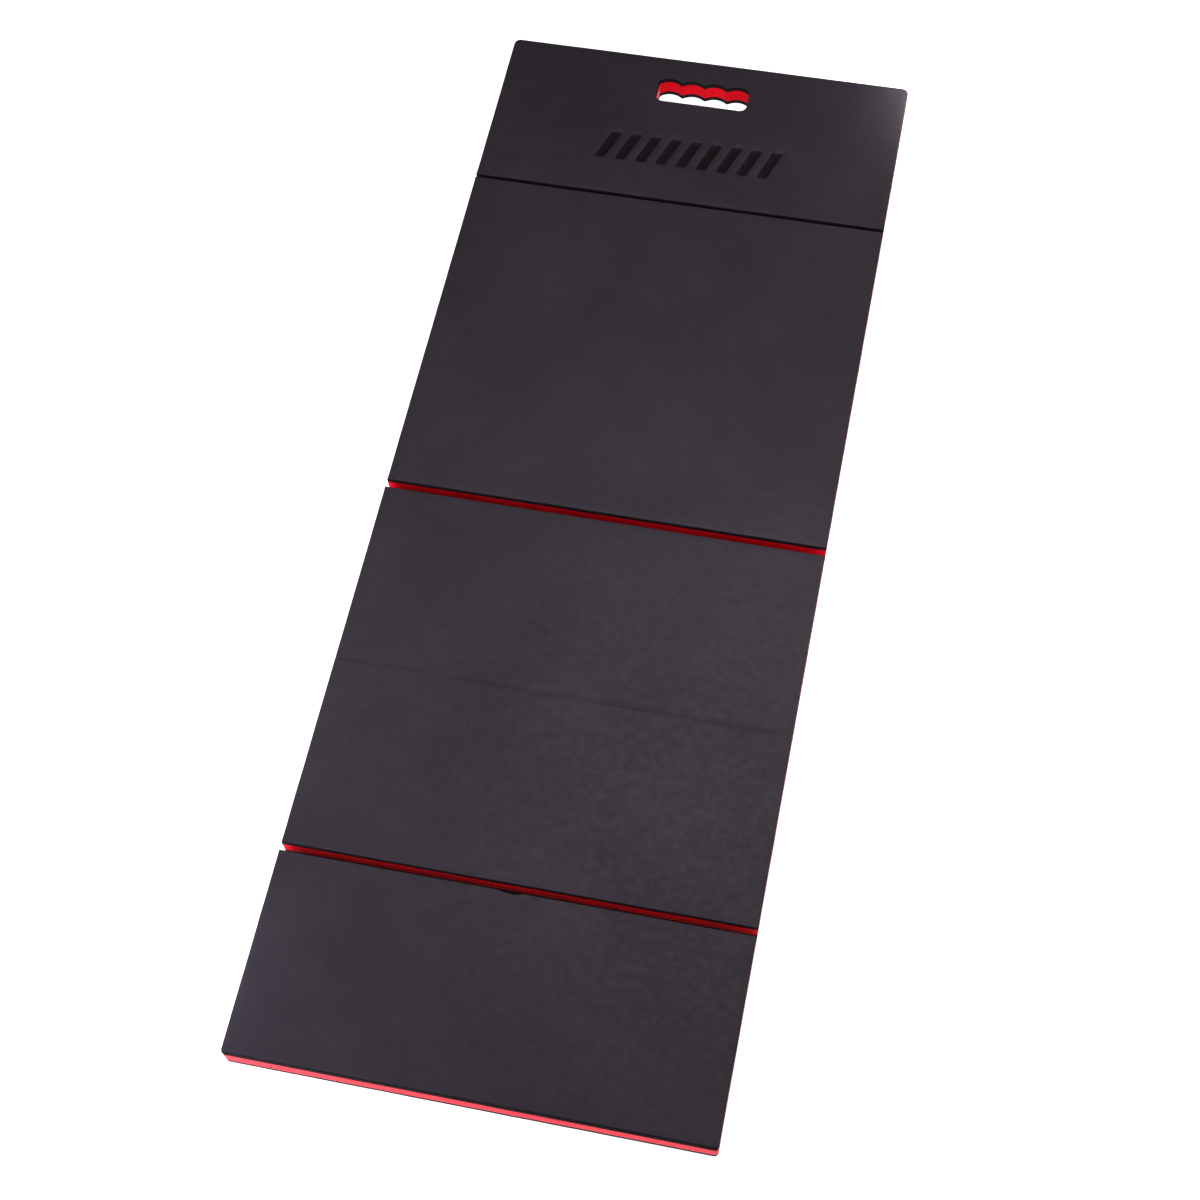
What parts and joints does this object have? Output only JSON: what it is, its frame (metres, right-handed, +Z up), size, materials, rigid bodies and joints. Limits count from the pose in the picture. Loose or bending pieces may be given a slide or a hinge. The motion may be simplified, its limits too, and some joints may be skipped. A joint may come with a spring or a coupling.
{
  "type": "folding foam mat",
  "caption": "Long folding closed-cell foam mat with black skins on a red core, grooved living hinges and a hand slot with a wavy finger grip.",
  "frame": {"origin": "centre of the unfolded mat's footprint, on its underside", "axes": "+X across the mat, +Y along the mat towards the handle end, +Z up out of the top skin"},
  "size_m": [0.45, 1.2, 0.026],
  "materials": {
    "black_foam": "matte",
    "red_foam": "matte"
  },
  "bodies": {
    "end_panel": {"end_panel_bottom_skin": "black_foam", "end_panel_core": "red_foam", "end_panel_top_skin": "black_foam"},
    "lower_panel": {"lower_panel_bottom_skin": "black_foam", "lower_panel_core": "red_foam", "lower_panel_top_skin": "black_foam", "end_hinge_strip": "black_foam", "middle_hinge_strip": "black_foam"},
    "middle_panel": {"middle_panel_bottom_skin": "black_foam", "middle_panel_core": "red_foam", "middle_panel_top_skin": "black_foam", "main_hinge_strip": "black_foam"},
    "main_panel": {"main_panel_bottom_skin": "black_foam", "main_panel_core": "red_foam", "main_panel_top_skin": "black_foam", "handle_hinge_strip": "black_foam"},
    "handle_panel": {"handle_panel_bottom_skin": "black_foam", "handle_panel_core": "red_foam", "handle_panel_top_skin": "black_foam"}
  },
  "joints": [
    {"name": "middle_fold", "type": "hinge", "parent": "lower_panel", "child": "middle_panel", "pos_m": [0, -0.1995, 0.02625], "axis": [1, 0, 0], "range_deg": [0, 180], "deforming": ["middle_hinge_strip"]},
    {"name": "main_fold", "type": "hinge", "parent": "middle_panel", "child": "main_panel", "pos_m": [0, -0.002, -0.00025], "axis": [-1, 0, 0], "range_deg": [0, 180], "deforming": ["main_hinge_strip"]},
    {"name": "handle_fold", "type": "hinge", "parent": "main_panel", "child": "handle_panel", "pos_m": [0, 0.40125, -0.00025], "axis": [-1, 0, 0], "range_deg": [-5, 180], "deforming": ["handle_hinge_strip"]},
    {"name": "end_fold", "type": "hinge", "parent": "lower_panel", "child": "end_panel", "pos_m": [0, -0.4, -0.00025], "axis": [1, 0, 0], "range_deg": [-14, 180], "deforming": ["end_hinge_strip"]}
  ],
  "couplings": [
    {"joint": "main_fold", "follows": "middle_fold", "ratio": 1}
  ]
}
